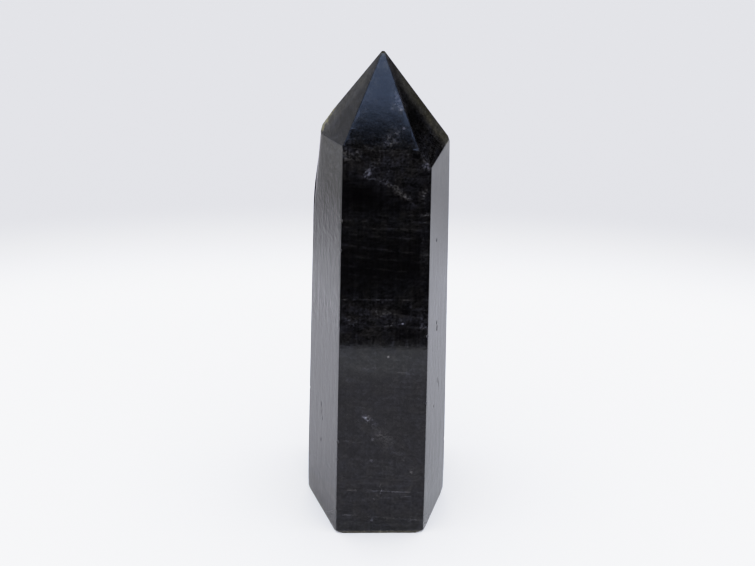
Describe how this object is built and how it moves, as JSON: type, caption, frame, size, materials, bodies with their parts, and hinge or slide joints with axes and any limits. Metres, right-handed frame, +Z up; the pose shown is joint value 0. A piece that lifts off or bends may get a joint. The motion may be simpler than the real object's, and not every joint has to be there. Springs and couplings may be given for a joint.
{
  "type": "morion quartz crystal",
  "caption": "Polished near-black smoky quartz tower: a flat-faced prism that tapers to a faceted point and stands upright on its sawn base.",
  "frame": {"origin": "middle of the crystal's box at the level of the sawn base that it stands on", "axes": "+Z up along the crystal to its point, -Y out of the front prism face, +X to the right seen from the front"},
  "size_m": [0.0278, 0.0334, 0.0997],
  "materials": {
    "morion": "polished"
  },
  "bodies": {
    "root": {"morion_crystal": "morion"}
  },
  "joints": []
}
